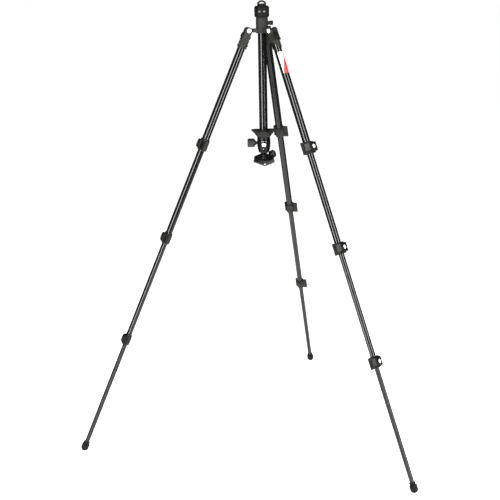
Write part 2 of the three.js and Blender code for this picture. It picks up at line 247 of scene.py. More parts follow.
def carve(mesh, *tools, operation="DIFFERENCE"):
    """Cuts the tools out of a mesh, or joins or intersects them with it."""
    body = bpy.data.objects.new("carve_body", mesh)
    bpy.context.scene.collection.objects.link(body)
    made = []
    for tool in tools:
        other = bpy.data.objects.new("carve_tool", tool)
        bpy.context.scene.collection.objects.link(other)
        other.hide_render = True
        modifier = body.modifiers.new("cut", "BOOLEAN")
        modifier.operation = operation
        modifier.solver = "EXACT"
        modifier.object = other
        made.append(other)
    graph = bpy.context.evaluated_depsgraph_get()
    result = bpy.data.meshes.new_from_object(body.evaluated_get(graph))
    for o in made + [body]:
        bpy.data.objects.remove(o)
    return result


# ---------------------------------------------------------------- materials

def noise(tree, scale, detail, vector):
    """A noise texture's value."""
    node = tree.nodes.new("ShaderNodeTexNoise")
    node.inputs["Scale"].default_value = scale
    node.inputs["Detail"].default_value = detail
    tree.links.new(vector, node.inputs["Vector"])
    return node.outputs["Fac"]


def ramp(tree, value, stops):
    """A colour that changes with a value, through (position, colour) stops."""
    node = tree.nodes.new("ShaderNodeValToRGB")
    tree.links.new(value, node.inputs["Fac"])
    elements = node.color_ramp.elements
    while len(elements) < len(stops):
        elements.new(0.5)
    for element, (position, colour) in zip(elements, stops):
        element.position = position
        element.color = (*colour, 1)
    return node.outputs["Color"]


# How finely a surface's colour drifts, and how deep its grain is
DRIFT_SCALE, GRAIN_DEPTH_M = 60.0, 0.00005


def surface(name, dark, light, rough, grain, bump, metallic=0.0, gloss=None):
    """A moulded, cast or anodised surface: colour and roughness drift slowly, with a fine grain in relief."""
    material = bpy.data.materials.new(name)
    material.use_nodes = True
    tree = material.node_tree
    shader = tree.nodes["Principled BSDF"]
    position = tree.nodes.new("ShaderNodeTexCoord").outputs["Object"]
    drift = noise(tree, DRIFT_SCALE, 3.0, position)
    fine = noise(tree, grain, 5.0, position)
    tree.links.new(ramp(tree, drift, [(0.3, dark), (0.7, light)]), shader.inputs["Base Color"])
    spread = tree.nodes.new("ShaderNodeMapRange")
    spread.inputs["To Min"].default_value = rough[0]
    spread.inputs["To Max"].default_value = rough[1]
    tree.links.new(fine, spread.inputs["Value"])
    tree.links.new(spread.outputs["Result"], shader.inputs["Roughness"])
    relief = tree.nodes.new("ShaderNodeBump")
    relief.inputs["Strength"].default_value = bump
    relief.inputs["Distance"].default_value = GRAIN_DEPTH_M
    tree.links.new(fine, relief.inputs["Height"])
    tree.links.new(relief.outputs["Normal"], shader.inputs["Normal"])
    shader.inputs["Metallic"].default_value = metallic
    if gloss is not None:
        shader.inputs["Specular IOR Level"].default_value = gloss
    return material


def sticker_material():
    """A glossy printed label: a pale field, a green line, a red sweep and a pink end, with no lettering."""
    material = surface("label_print", (0.6, 0.6, 0.57), (0.7, 0.7, 0.67), (0.25, 0.4), grain=300, bump=0.02)
    tree = material.node_tree
    shader = tree.nodes["Principled BSDF"]
    uv = tree.nodes.new("ShaderNodeUVMap").outputs["UV"]
    split = tree.nodes.new("ShaderNodeSeparateXYZ")
    tree.links.new(uv, split.inputs["Vector"])
    slant = -1.1
    lean = tree.nodes.new("ShaderNodeMath")
    lean.operation = "MULTIPLY_ADD"
    lean.inputs[1].default_value = slant
    tree.links.new(split.outputs["X"], lean.inputs[0])
    tree.links.new(split.outputs["Y"], lean.inputs[2])
    span = tree.nodes.new("ShaderNodeMapRange")
    span.inputs["From Min"].default_value = slant
    span.inputs["From Max"].default_value = 1.0
    tree.links.new(lean.outputs[0], span.inputs["Value"])
    pale, green, red = (0.62, 0.63, 0.56), (0.42, 0.46, 0.36), (0.5, 0.03, 0.04)
    pink, blush = (0.55, 0.3, 0.28), (0.7, 0.6, 0.56)
    colour = ramp(tree, span.outputs["Result"], [
        (0.0, pink), (0.08, blush), (0.14, pink), (0.2, red), (0.5, red), (0.53, pale), (0.6, green),
        (0.64, pale), (1.0, pale)])
    tree.links.new(colour, shader.inputs["Base Color"])
    return material


# Slots of the record, and the looks that some pieces wear in their place
MATERIALS = {
    "casting_grey": surface("cast_charcoal", (0.014, 0.014, 0.0125), (0.027, 0.0265, 0.024), (0.5, 0.62),
                            grain=1200, bump=0.35, gloss=0.2),
    "black_tube": surface("black_anodised_tube", (0.004, 0.004, 0.004), (0.007, 0.007, 0.0065), (0.13, 0.17),
                          grain=160, bump=0.0, gloss=0.75),
    "lower_tube": surface("satin_anodised_tube", (0.006, 0.006, 0.006), (0.010, 0.010, 0.009), (0.36, 0.42),
                          grain=160, bump=0.0, gloss=0.6),
    "band_grey": surface("collar_band", (0.026, 0.026, 0.024), (0.042, 0.042, 0.039), (0.45, 0.55),
                         grain=1200, bump=0.3, gloss=0.3),
    "rubber": surface("moulded_rubber", (0.004, 0.004, 0.0037), (0.008, 0.008, 0.0073), (0.5, 0.65),
                      grain=1100, bump=0.3, gloss=0.15),
    "foot_rubber": surface("soft_foot_rubber", (0.0015, 0.0015, 0.0013), (0.003, 0.003, 0.0026), (0.6, 0.7),
                           grain=1100, bump=0.3, gloss=0.3),
    "knob_rubber": surface("ribbed_knob_rubber", (0.014, 0.014, 0.014), (0.024, 0.024, 0.024), (0.4, 0.5),
                           grain=1100, bump=0.3),
    "lever_black": surface("black_lever", (0.003, 0.003, 0.0026), (0.008, 0.008, 0.007), (0.45, 0.55),
                           grain=1000, bump=0.3, gloss=0.2),
    "plastic": surface("black_plastic", (0.006, 0.006, 0.0055), (0.012, 0.012, 0.011), (0.42, 0.55),
                       grain=900, bump=0.25, gloss=0.3),
    "head_black": surface("satin_black_metal", (0.003, 0.003, 0.003), (0.007, 0.007, 0.007), (0.26, 0.36),
                          grain=1500, bump=0.12, gloss=0.4),
    "plate_grey": surface("bead_blasted_plate", (0.05, 0.05, 0.049), (0.068, 0.068, 0.066), (0.34, 0.44),
                          metallic=0.15, grain=1100, bump=0.1),
    # Pale grey that paints highlights on the twist collar's grip
    "highlight_grey": surface("painted_grip_highlight", (0.1, 0.1, 0.096), (0.14, 0.14, 0.135), (0.5, 0.6),
                         grain=900, bump=0.02),
    "pale_ink": surface("pale_engraving", (0.34, 0.34, 0.33), (0.42, 0.42, 0.41), (0.5, 0.6),
                        grain=900, bump=0.02),
    "silver": surface("bright_silver", (0.88, 0.88, 0.88), (0.95, 0.95, 0.94), (0.24, 0.34),
                      metallic=0.25, grain=500, bump=0.04),
    "steel": surface("turned_steel", (0.45, 0.45, 0.44), (0.6, 0.6, 0.58), (0.2, 0.36),
                     metallic=1.0, grain=600, bump=0.08),
    "label": sticker_material(),
}


def place(name, mesh, matrix, body, slot, nodes, bevel, angle=32, look=None):
    """Puts a millimetre mesh in the shared frame as a finished piece that rides on a CAD body.

    nodes are the CAD nodes that it stands for, bevel is in millimetres, angle is the turn in degrees that
    makes an edge sharp, and look is a material other than the slot's own.
    """
    made = mesh.copy()
    made.transform(matrix @ Matrix.Scale(0.001, 4))
    made.materials.clear()
    made.materials.append(MATERIALS[look or slot])
    piece = bpy.data.objects.new(name, made)
    bpy.context.scene.collection.objects.link(piece)
    for polygon in made.polygons:
        polygon.use_smooth = True
    made.set_sharp_from_angle(angle=rad(angle))
    if bevel:
        modifier = piece.modifiers.new("edge", "BEVEL")
        modifier.width = bevel / 1000
        modifier.segments = 2
        modifier.limit_method = "ANGLE"
        modifier.angle_limit = rad(angle)
        modifier.harden_normals = True
        modifier.miter_outer = "MITER_ARC"
    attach(piece, body)
    if nodes:
        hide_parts(*nodes)


# ---------------------------------------------------------------- leg pieces

def casting_mesh():
    """Two ears round the pivot, a neck with a channel for the stop tab, and a socket for the top tube."""
    outline = arc(10, 0, 180, 40)
    outline += [(-10, -24), (-11.6, -28), (-11.6, -31), (11.6, -31), (11.6, -28), (10, -24)]
    ears = [prism_y(outline, -EAR_HALF, -CHEEK), prism_y(outline, CHEEK, EAR_HALF)]
    rims = []
    for low, high in ((EAR_HALF - 0.1, EAR_HALF + 0.5), (-EAR_HALF - 0.5, 0.1 - EAR_HALF)):
        rims.append(along_y(pipe(6.9, 9.3, low, high, 64)))
    neck = [(-10, -8.6), (-10, -24), (-11.6, -28), (-11.6, -32), (8.2, -32), (8.2, -8.6)]
    neck = prism_y(neck, -CHEEK - 0.1, CHEEK + 0.1)
    nub = prism_y([(-9, -12.5), (-13.2, -15), (-14, -16.5), (-14, -21.5), (-12.8, -23), (-9, -23.5)], -7, 7)
    barrel = lathe([
        (0, -26), (11.8, -26), (12.9, -28), (13.75, -31.5), (13.75, -43.4), (13.2, -43.8), (13.2, -45),
        (13.75, -45.4), (13.75, -52.2), (13.3, -53), (11.35, -53), (11.35, -31), (0, -31)], 72)
    arch = prism_y(arc(9.6, 0, 180, 24, -1, -47.5) + [(-10.6, -64), (8.6, -64)], -20, -5)
    channel = block(8.2, 18, -9.4, 9.4, -33, -8.7)
    barrel = carve(barrel, arch, channel)
    ears = [carve(ear, channel.copy()) for ear in ears]
    screw = shifted(lying(carve(pin(3, -15, -12), pin(1.4, -16, -14.2, 6))), z=-42)
    side_screw = lying(lathe([(0, 13.2), (2, 13.2), (2, 14.3), (1.6, 14.7), (0, 14.7)], 24))
    side_screw = spun(shifted(side_screw, z=-48.8), -16)
    return group(*ears, *rims, neck, nub, barrel, screw, side_screw)


def bolt_head():
    """A domed cap with a slot."""
    head = [(0, 13.3), (6.2, 13.3), (6.25, 13.6), (6.25, 14.5), (5.9, 15.0), (5.2, 15.3), (0, 15.35)]
    return carve(lathe(head, 48), block(-7, 7, -0.75, 0.75, 14.5, 16))


def bolt_mesh():
    """The pivot bolt, with a slotted cap at each end."""
    near = spun(bolt_head(), 35)
    far = spun(spun(bolt_head(), 180, "X"), 20)
    return along_y(group(pin(3.95, -13.5, 13.5), near, far))


def stop_mesh():
    """The tab that sets the leg's angle, with four finger grooves."""
    outline = [(8.5, -9.4), (12, -9.8), (13.2, -11), (14.2, -21.5), (13.6, -23.4), (12, -24.2), (8.5, -24.4)]
    grooves = []
    for i in range(4):
        z = -12.6 - 2.5 * i
        grooves.append(block(12.6 + 0.12 * i, 18, -7.6, 7.6, z - 0.65, z + 0.65))
    return carve(prism_y(outline, -9, 9), *grooves)


def tube_mesh(i):
    """One section; below the first, each has a guide sleeve round its top end."""
    r, bore, top, end = TUBE_R[i], TUBE_BORE_R[i], -TUBE_TOP[i], -TUBE_END[i]
    if i == 0:
        return pipe(bore, r, end, top, 72)
    guide = TUBE_BORE_R[i - 1] - 0.12
    return lathe([
        (bore, end), (r, end), (r, top - 22), (guide, top - 21), (guide, top), (bore, top), (bore, end)], 72)


def lever_hinge(i):
    """Where a lever's pin stands, across the leg."""
    return 4, TUBE_R[i] + COLLAR_WALL + 2.9


def collar_mesh(i):
    """A lock's clamp: a stepped shell, an ear on one side, and two hinge ears with their pin."""
    upper, lower, half = TUBE_R[i], TUBE_R[i + 1], COLLAR_HALF[i]
    outer = upper + COLLAR_WALL
    x, y = lever_hinge(i)
    step = TUBE_END[i] - LOCK_S[i] + 0.1
    shell = lathe([
        (upper + 0.1, half), (outer - 1.6, half), (outer - 1.4, half - 0.2), (outer - 1.2, half - 4.6),
        (outer, half - 5.2), (outer, -half + 5), (outer - 0.7, -half + 4.4), (outer - 0.7, -half + 1.4),
        (outer - 1.7, -half), (lower + 0.4, -half), (lower + 0.4, -step), (upper + 0.1, -step),
        (upper + 0.1, half)], 72)
    ear = block(-1.5, 3.5, -outer - CLAMP_EAR, -outer + 0.4, -half - 0.5, half + 0.5)
    split = block(-4, -0.2, -outer - 7.6, -outer - 5.8, -half - 2, half - 9)
    face_rib = block(1.5, 6, -outer - 7, -outer - 5, -half + 5, half - 5)
    front = arc(outer + 1, -72, 68, 24) + arc(upper + 1.7, 68, -72, 24)
    shell = carve(shell, prism(front, 12.4, half + 1), prism(front, -half - 1, -9.4))
    parts = [shell, carve(ear, split, face_rib)]
    for low, high in ((LEVER_HALF + 0.3, LEVER_HALF + 3.3), (-LEVER_HALF - 3.3, -LEVER_HALF - 0.3)):
        parts.append(shifted(pin(2.9, low, high), x, y))
        parts.append(block(x - 2.85, x + 2.85, outer - 2.9, y, low + 0.01, high - 0.01))
    parts.append(shifted(pin(1.5, -15, 15, 24), x, y))
    return shifted(group(*parts), z=-LOCK_S[i])


def band_mesh(i):
    """The raised cast band across the front of a collar."""
    outer = TUBE_R[i] + COLLAR_WALL
    band = prism(arc(outer + 2.6, -86, -26, 20) + arc(outer - 0.6, -26, -86, 20), -9, 12)
    recess = prism(arc(outer + 6, -66, -34, 10) + arc(outer + 1.9, -34, -66, 10), -5.5, 8.5)
    return shifted(carve(band, recess), z=-LOCK_S[i])


def painted_shade_mesh(i):
    """Painted shade: a black liner that shows above and below the collar's band, and a black ring round its
    neck.
    """
    upper, half = TUBE_R[i], COLLAR_HALF[i]
    outline = arc(upper + 2.1, -71, 67, 24) + arc(upper + 1.5, 67, -71, 24)
    neck = pipe(upper + 1.6, upper + 2.2, half - 4.5, half - 0.5, 72)
    return shifted(group(prism(outline, 0.6 - half, -9.5), neck), z=-LOCK_S[i])


def pin_cap_mesh(i):
    """The hinge pin's head, with a six-sided socket."""
    x, y = lever_hinge(i)
    top = LEVER_HALF + 3.2
    head = lathe([(0, top - 0.5), (2.1, top - 0.5), (2.1, top + 0.6), (1.7, top + 0.9), (0, top + 0.9)], 32)
    return shifted(carve(head, pin(1, top + 0.4, top + 2, 6)), x, y, -LOCK_S[i])


def lever_mesh(i):
    """A flip lever: a round-cornered plate that hugs the collar, its knuckle, and a seat for its cover."""
    outer = TUBE_R[i] + COLLAR_WALL
    x, y = lever_hinge(i)
    reach = outer + LEVER_REACH
    knuckle = arc(6, 90, 0, 12, reach - 6, y - 4.5)
    outline = [(x, y + 2.85)] + knuckle + [(reach, -4), (reach - 3, -7)] + arc(outer + 0.45, -20, 70, 28)
    side = [(-5, LEVER_HALF)] + arc(6, 90, 0, 12, reach - 6, LEVER_HALF - 6)
    side += [(px, -pz) for px, pz in reversed(side)]
    plate = carve(prism(outline, -LEVER_HALF, LEVER_HALF), prism_y(side, -40, 40), operation="INTERSECT")
    end = shifted(pin(2.9, 0.05 - LEVER_HALF, LEVER_HALF - 0.05), x, y)
    bore = shifted(pin(1.65, -20, 20, 24), x, y)
    seat = shifted(lying(pin(7, reach - 2.6, reach + 3, 48)), y=CAP_Y)
    grips = [block(x + 3 + 2.4 * n, x + 3.9 + 2.4 * n, y + 0.7, y + 3, -8, 8) for n in range(3)]
    ring = [(6.8, -0.6), (8, -0.6), (8, 0.4), (7.6, 0.9), (6.8, 0.9), (6.8, -0.6)]
    bezel = shifted(lying(lathe([(r, reach + rise) for r, rise in ring], 48)), y=CAP_Y)
    body = carve(carve(plate, end, operation="UNION"), bore, seat, *grips)
    return shifted(group(body, bezel), z=-LOCK_S[i])


def lever_cap_mesh(i):
    """The bright round cover over the tension screw, slotted and sunk in the lever's outer face."""
    reach = TUBE_R[i] + COLLAR_WALL + LEVER_REACH
    profile = [(0, -2.55), (6.6, -2.55), (6.6, -1.8), (6.1, -1.5), (0, -1.4)]
    disc = lying(lathe([(r, reach + rise) for r, rise in profile], 48))
    slot = block(reach - 1.8, reach + 3, -4.4, 4.4, -0.5, 0.5)
    return shifted(carve(disc, slot), y=CAP_Y, z=-LOCK_S[i])


def foot_mesh():
    """A domed rubber foot, worn flat where it stands on the floor."""
    top, centre = -FOOT_TOP, -FOOT_CENTRE
    dome = arc(FOOT_R, -80, -10, 7, 0, centre)
    body = lathe([(0, centre - FOOT_R)] + dome + [
        (FOOT_R, centre), (FOOT_R, top - 17), (10.7, top - 16.3), (10.7, top - 15.4), (FOOT_R, top - 14.7),
        (FOOT_R, top - 9), (10.6, top - 8), (8.5, top - 7), (8.4, top - 4.6), (9.4, top - 3.8),
        (9.5, top - 0.8), (9.0, top - 0.1), (7.1, top), (0, top)], 72)
    socket = pin(6.8, top - 12, top + 5, 48)
    # The floor, seen from the leg: a plane tilted by the leg's angle, met below the dome's centre
    floor = block(-40, 40, -40, 40, -60, 0)
    floor.transform(Matrix.Translation((0, 0, centre)) @ Matrix.Rotation(rad(FLOOR_TILT), 4, "Y")
                    @ Matrix.Translation((0, 0, -9.2)))
    return carve(body, socket, floor)


def label_mesh():
    """A curved print on the outer side of a top tube, with its own UVs."""
    r, z0, z1, a0, a1, steps = 11.31, -67, -131, -68, 48, 24
    verts, faces = [], []
    # Four points at each step: the inner face's two edges, then the outer face's
    for k in range(steps + 1):
        a = a0 + (a1 - a0) * k / steps
        for radius in (r, r + 0.06):
            for z in (z0, z1):
                verts.append((*polar(radius, a), z))
    for k in range(steps):
        b = 4 * k
        n = b + 4
        faces += [[b + 2, n + 2, n + 3, b + 3], [b, b + 1, n + 1, n]]
        faces += [[b, n, n + 2, b + 2], [b + 1, b + 3, n + 3, n + 1]]
    end = 4 * steps
    faces += [[0, 2, 3, 1], [end, end + 1, end + 3, end + 2]]
    mesh = mesh_from(verts, faces)
    layer = mesh.uv_layers.new(name="UVMap")
    for loop in mesh.loops:
        co = mesh.vertices[loop.vertex_index].co
        turn = math.degrees(math.atan2(co.y, co.x))
        layer.data[loop.index].uv = ((turn - a0) / (a1 - a0), (co.z - z1) / (z0 - z1))
    return mesh


SECTIONS = ("upper", "second", "third", "lower")
LOCKS = range(3)
CASTING, BOLT, STOP, FOOT = casting_mesh(), bolt_mesh(), stop_mesh(), foot_mesh()
TUBES = [tube_mesh(i) for i in range(4)]
COLLARS = [collar_mesh(i) for i in LOCKS]
LEVERS = [lever_mesh(i) for i in LOCKS]
PIN_CAPS = [pin_cap_mesh(i) for i in LOCKS]
TENSION_CAPS = [lever_cap_mesh(i) for i in LOCKS]
PAINTED_SHADES = [painted_shade_mesh(i) for i in LOCKS]
BANDS = [band_mesh(i) for i in LOCKS]

for leg in LEGS:
    at = leg_frame(leg)
    own = f"leg_{leg}_"
    place(own + "casting_fine", CASTING, at, own + "upper", "casting_grey", [own + "casting"], 0.5)
    place(own + "bolt_fine", BOLT, at, "shoulder", "silver", [own + "pivot_bolt"], 0.2)
    place(own + "stop_fine", STOP, at, own + "stop", "plastic", [own + "stop_tab"], 0.25)
    place(own + "foot_fine", FOOT, at, own + "lower", "rubber", [own + "foot"], 0.25, look="foot_rubber")
    for i, section in enumerate(SECTIONS):
        tube = own + f"tube_{i + 1}"
        look = "lower_tube" if section == "lower" else None
        place(tube + "_fine", TUBES[i], at, own + section, "black_tube", [tube], 0.2, look=look)
    for i in LOCKS:
        section = own + SECTIONS[i]
        lock = own + f"lock_{i + 1}_"
        lever = own + f"lever_{i + 1}"
        place(lock + "collar_fine", COLLARS[i], at, section, "casting_grey", [lock + "collar"], 0.35)
        place(lock + "band", BANDS[i], at, section, "casting_grey", (), 0.35, look="band_grey")
        # A black liner and neck ring that paint shade above and below the collar's band
        place(lock + "painted_shade", PAINTED_SHADES[i], at, section, "plastic", (), 0.1, look="lever_black")
        place(lock + "pin_cap", PIN_CAPS[i], at, section, "steel", (), 0.15)
        place(lock + "lever_fine", LEVERS[i], at, lever, "plastic", [lock + "lever"], 0.45,
              look="lever_black")
        place(lock + "tension_cap", TENSION_CAPS[i], at, lever, "silver", (), 0.2)
    if leg == "b":
        place("leg_b_label", label_mesh(), at, own + "upper", "plastic", (), 0, look="label")


# ---------------------------------------------------------------- shoulder and column

def spider_mesh():
    """A ring round the column, with an arm and a lug for each leg's pivot."""
    body = lathe([
        (0, -8), (17.6, -8), (18.5, -7.2), (18.5, -3.4), (17.9, -2.8), (17.9, 1.4), (18.5, 2), (18.5, 5.2),
        (17.6, 6), (0, 6)], 96)
    side = [(10, -5.6), (34, -5.2), (PIVOT_R, -5.2), (PIVOT_R, 5.2), (34, 5.2), (10, 5.6)]
    for azimuth in ARM_AZIMUTHS:
        pockets = [block(21, 33, -4.6, 4.6, 3.9, 8), block(21, 33, -4.6, 4.6, -8, -3.9)]
        arm = carve(prism_y(side, -7, 7), *pockets)
        lug = shifted(along_y(pin(8, -7, 7, 48)), x=PIVOT_R)
        arm = spun(carve(arm, lug, operation="UNION"), azimuth)
        body = carve(body, arm, operation="UNION")
    return carve(body, pin(HOUSING_BORE_R, -12, 12, 72))


def housing_mesh():
    """The column's housing with its collet neck, and a boss for the side knob."""
    bore = HOUSING_BORE_R
    body = lathe([
        (bore, 6.05), (17.5, 6.05), (17.5, 8.6), (16.9, 9.2), (16.9, 10.2), (17.5, 10.8), (17.5, 31.4),
        (17, 32), (17, 33), (17.5, 33.6), (17.5, 34.8), (16.8, 36), (16.8, 36.6), (15.2, 36.6), (15.2, 62),
        (bore, 62), (bore, 6.05)], 96)
    boss = lathe([(0, 15), (6.4, 15), (6.4, 18.6), (5.8, 19.5), (0, 19.5)], 40)
    body = carve(body, facing(boss, SIDE_KNOB_Z, SIDE_KNOB_AZIMUTH), operation="UNION")
    hole = facing(pin(3.3, 10, 25), SIDE_KNOB_Z, SIDE_KNOB_AZIMUTH)
    return carve(body, pin(bore, 0, 70, 96), hole)


def collar_grip(a, z, r):
    """Shallow flutes round the twist collar's grip."""
    if r < 19 or not 40 < z < 66.6:
        return 1
    wave = 0.5 + 0.5 * math.cos(14 * a)
    return 1 - 0.022 * (1 - wave ** 0.6)


def twist_mesh():
    """The rubber twist collar round the housing's neck."""
    rows = [(15.5, 37), (18.2, 37), (20.2, 38), (21.2, 39.8), (21.6, 42)]
    rows += [(21.8, z) for z in (43, 45, 47, 47.6)]
    rows += [(20.9, 48.4), (20.9, 50), (21.8, 50.8)]
    rows += [(21.8, z) for z in (52, 55, 58, 61, 63)]
    rows += [(21.4, 64.8), (20.4, 66.6), (19.2, 67.8), (18.2, 68.6), (17, 69)]
    rows += [(12.95, 69), (12.95, 62.4), (15.5, 62.4), (15.5, 37)]
    return lathe(rows, 168, collar_grip)


def side_knob_ribs(a, z, r):
    """Square ribs round the side knob's grip."""
    return 1 - 0.06 * (r > 5 and math.cos(18 * a) < 0)


def side_knob_mesh():
    rows = [
        (0, 13.3), (3, 13.3), (3, 20.2), (4.6, 20.2), (4.8, 22.2), (6.2, 23.4), (6.5, 24), (6.5, 31.4),
        (5.8, 32.4), (3.8, 32.5), (3.4, 32), (0, 32)]
    return lathe(rows, 72, side_knob_ribs)


def hook_mesh():
    """The arch that a weight hangs from, a wire of oval section, on its bar and swivel."""
    half_width, rise, base, wire_r, oval = 11, 9, 73, 1.9, 1.35
    verts, faces, steps, around = [], [], 40, 20
    for i in range(steps + 1):
        a = math.pi * i / steps
        centre = Vector((half_width * math.cos(a), 0, base + rise * math.sin(a)))
        out = Vector((rise * math.cos(a), 0, half_width * math.sin(a))).normalized()
        for k in range(around):
            b = 2 * math.pi * k / around
            verts.append(centre + wire_r * (oval * math.cos(b) * out + math.sin(b) * Vector((0, 1, 0))))
    for i in range(steps):
        for k in range(around):
            n = (k + 1) % around
            faces.append([i * around + k, i * around + n, (i + 1) * around + n, (i + 1) * around + k])
    faces += [list(range(around))[::-1], [steps * around + k for k in range(around)]]
    arch = mesh_from(verts, faces)
    bar = lying(lathe([(0, -12.4), (1.7, -12.4), (2.0, -12), (2.0, 12), (1.7, 12.4), (0, 12.4)], 24))
    swivel = lathe([(0, 71.5), (7.4, 71.5), (7.4, 73.6), (6, 74.8), (0, 75.2)], 48)
    return spun(group(arch, shifted(bar, z=73.3), swivel), VIEW_TURN)


def lobes(a, z, r):
    """Draws a turned rim in to the hub between three rounded corners."""
    if r < PLATFORM_HUB_R:
        return 1
    lobe = (0.5 + 0.5 * math.cos(3 * (a - rad(LOBE_AZIMUTH)))) ** 1.1
    return (PLATFORM_HUB_R + (r - PLATFORM_HUB_R) * (0.07 + 0.93 * lobe)) / r


def platform_mesh():
    """The three-cornered dish at the column's foot, with a hole in each corner."""
    rows = [
        (0, -311.5), (19.4, -311.5), (20.2, -311), (20.6, -310), (24.5, -306), (29, -302.6), (33.5, -299.4),
        (37.5, -296.4), (40.4, -294), (41, -293), (41, -292.2), (40.2, -291.6), (38.6, -291.8), (35, -293.6),
        (30, -295.6), (24, -296.9), (18, -297), (16.4, -296.4), (15.4, -294.6), (15, -293.2), (0, -293.2)]
    body = lathe(rows, 144, lobes)
    holes = [spun(shifted(pin(2.3, -320, -280, 24), x=27), a + LOBE_AZIMUTH) for a in (0, 120, 240)]
    return carve(body, *holes)


def twist_highlights_mesh():
    """Two slightly raised pale grey patches on the twist collar, either side of its front, whose colour paints
    the highlights on its grip.
    """
    return group(*[spun(block(20.4, 22.1, -3.2, 3.2, 51.2, 55.8), VIEW_TURN - 90 + a) for a in (-19, 19)])


side_knob_frame = along_x(SIDE_KNOB_Z, SIDE_KNOB_AZIMUTH)
column = pipe(10.9, COLUMN_R, -293, 69.2, 96)
end_cap = lathe([(0, 69.3), (13.2, 69.3), (13.2, 70.4), (12.4, 71.2), (0, 71.3)], 72)
foot_ring = lathe([
    (12.6, -293.1), (14.6, -293.1), (14.6, -289.6), (13.9, -288.8), (12.6, -288.8), (12.6, -293.1)], 72)
place("spider_fine", spider_mesh(), CENTRE, "shoulder", "casting_grey", ["spider"], 0.5)
place("housing_fine", housing_mesh(), CENTRE, "shoulder", "casting_grey", ["column_housing"], 0.35)
place("twist_collar_fine", twist_mesh(), CENTRE, "twist_collar", "rubber", ["twist_collar"], 0, 50)
# Painted highlights: two pale patches either side of the collar's front, turned toward the camera
place("twist_collar_highlights", twist_highlights_mesh(), CENTRE, "twist_collar", "rubber", (), 0.6, look="highlight_grey")
place("side_knob_fine", side_knob_mesh(), side_knob_frame, "side_knob", "plastic", ["side_knob"], 0.2)
place("column_fine", column, CENTRE, "column", "black_tube", ["column_tube"], 0.2)
place("end_cap_fine", end_cap, CENTRE, "column", "plastic", ["column_end_cap"], 0.2)
place("hook_fine", hook_mesh(), CENTRE, "hook", "plastic", ["hook_ring"], 0.2)
place("platform_fine", platform_mesh(), CENTRE, "column", "casting_grey", ["platform"], 0.3, 40)
place("column_foot_ring", foot_ring, CENTRE, "column", "plastic", (), 0.2)


# ---------------------------------------------------------------- ball head

def pan_base_mesh():
    """The panning disc, with a scale of fine ticks."""
    rows = [(0, -316.2), (18.9, -316.2), (19.3, -315.8), (19.3, -312.8), (18.6, -311.7), (0, -311.6)]
    ticks = [spun(block(18.9, 20, -0.22, 0.22, -315.6, -314), a) for a in range(0, 360, 15)]
    return carve(lathe(rows, 96), *ticks)


def ball_housing_mesh():
    """The socket round the ball, with a notch for the stem and seats for the two knobs."""
    body = lathe([
        (0, -358), (14.6, -358), (15.1, -357.5), (16.1, -355), (17.1, -351.6), (17.9, -348.5), (18.6, -344.5),
        (19.2, -340), (19.65, -336), (19.9, -332), (19.9, -322.4), (19.3, -321.9), (19.3, -321.1),
        (19.9, -320.6), (19.9, -318), (19.2, -316.5), (0, -316.5)], 96)
    cavity_r = BALL_R + 0.5
    sphere = arc(cavity_r, -80, 80, 16, 0, BALL_Z)
    cavity = lathe([(0, BALL_Z - cavity_r)] + sphere + [(0, BALL_Z + cavity_r)], 64)
    notch = spun(block(-7.2, 7.2, 0, 30, -364, -349), VIEW_TURN)
    knob_hole = facing(pin(4.3, 10, 24, 40), MAIN_KNOB_Z, MAIN_KNOB_AZIMUTH)
    cap_hole = facing(pin(3.3, 16.5, 24), PAN_KNOB_Z, PAN_KNOB_AZIMUTH)
    cap_seat = facing(pin(7.2, 19.2, 24, 48), PAN_KNOB_Z, PAN_KNOB_AZIMUTH)
    return carve(body, cavity, notch, knob_hole, cap_hole, cap_seat)


def housing_marks_mesh():
    """A short printed scale above the pan knob, and a block below it."""
    marks = []
    for n in range(7):
        length = 1.6 if n % 3 else 3.2
        mark = block(19.84, 20.0, -0.35, 0.35, -322.2 - length, -322.2)
        marks.append(spun(mark, PAN_KNOB_AZIMUTH + 7 * (n - 3)))
    marks.append(spun(block(17.9, 19.05, -1.2, 1.2, -347.5, -345.2), PAN_KNOB_AZIMUTH - 3))
    return group(*marks)


def knurl(teeth, depth, low, high, r_min):
    """Ribs for a knob's grip, between two heights and outside a radius."""
    def shape(a, z, r):
        if r < r_min or not low < z < high:
            return 1
        return 1 - depth * (0.5 - 0.5 * math.cos(teeth * a)) ** 1.5
    return shape


def main_knob_mesh():
    rows = [
        (0, 11), (4, 11), (4, 20.5), (4.7, 21), (5, 22.2), (5.2, 23.2), (8.6, 25.9), (12.2, 28.8),
        (12.9, 29.6), (13, 30.4), (13, 31.6), (12.2, 32), (12.2, 32.8), (13, 33.2), (13, 45), (12.2, 45.4),
        (12.2, 46), (12.9, 46.4), (12.8, 47.8), (12, 48.6), (9.6, 48.6), (9.2, 48), (0, 48)]
    return lathe(rows, 192, knurl(18, 0.085, 33.3, 44.9, 12.6))


def pan_knob_mesh():
    """A flat bright cap with a slot across a six-sided socket."""
    cap = lathe([
        (0, 17), (3, 17), (3, 20.2), (6.1, 20.2), (6.15, 20.5), (6.15, 21.3), (5.7, 21.9), (5.0, 22.1),
        (0, 22.15)], 48)
    return carve(cap, block(-0.45, 0.45, 0, 8, 21.4, 24), pin(1.5, 20.6, 24, 6))


def ball_mesh():
    """The ball and its stem, which hangs from it."""
    profile = [(0, BALL_R)] + arc(BALL_R, 84, -60, 24)
    profile += [(6.4, -14.2), (6, -15.2), (6, -18.4), (6.6, -19.4), (9, -20.4), (9, -21.8), (8.6, -22)]
    profile.append((0, -22))
    return lathe(profile, 72)


def clamp_outline():
    """The clamp's plan, drawn out past its top and bottom."""
    return prism(rounded(23.5, 22, 5), -40, -20)


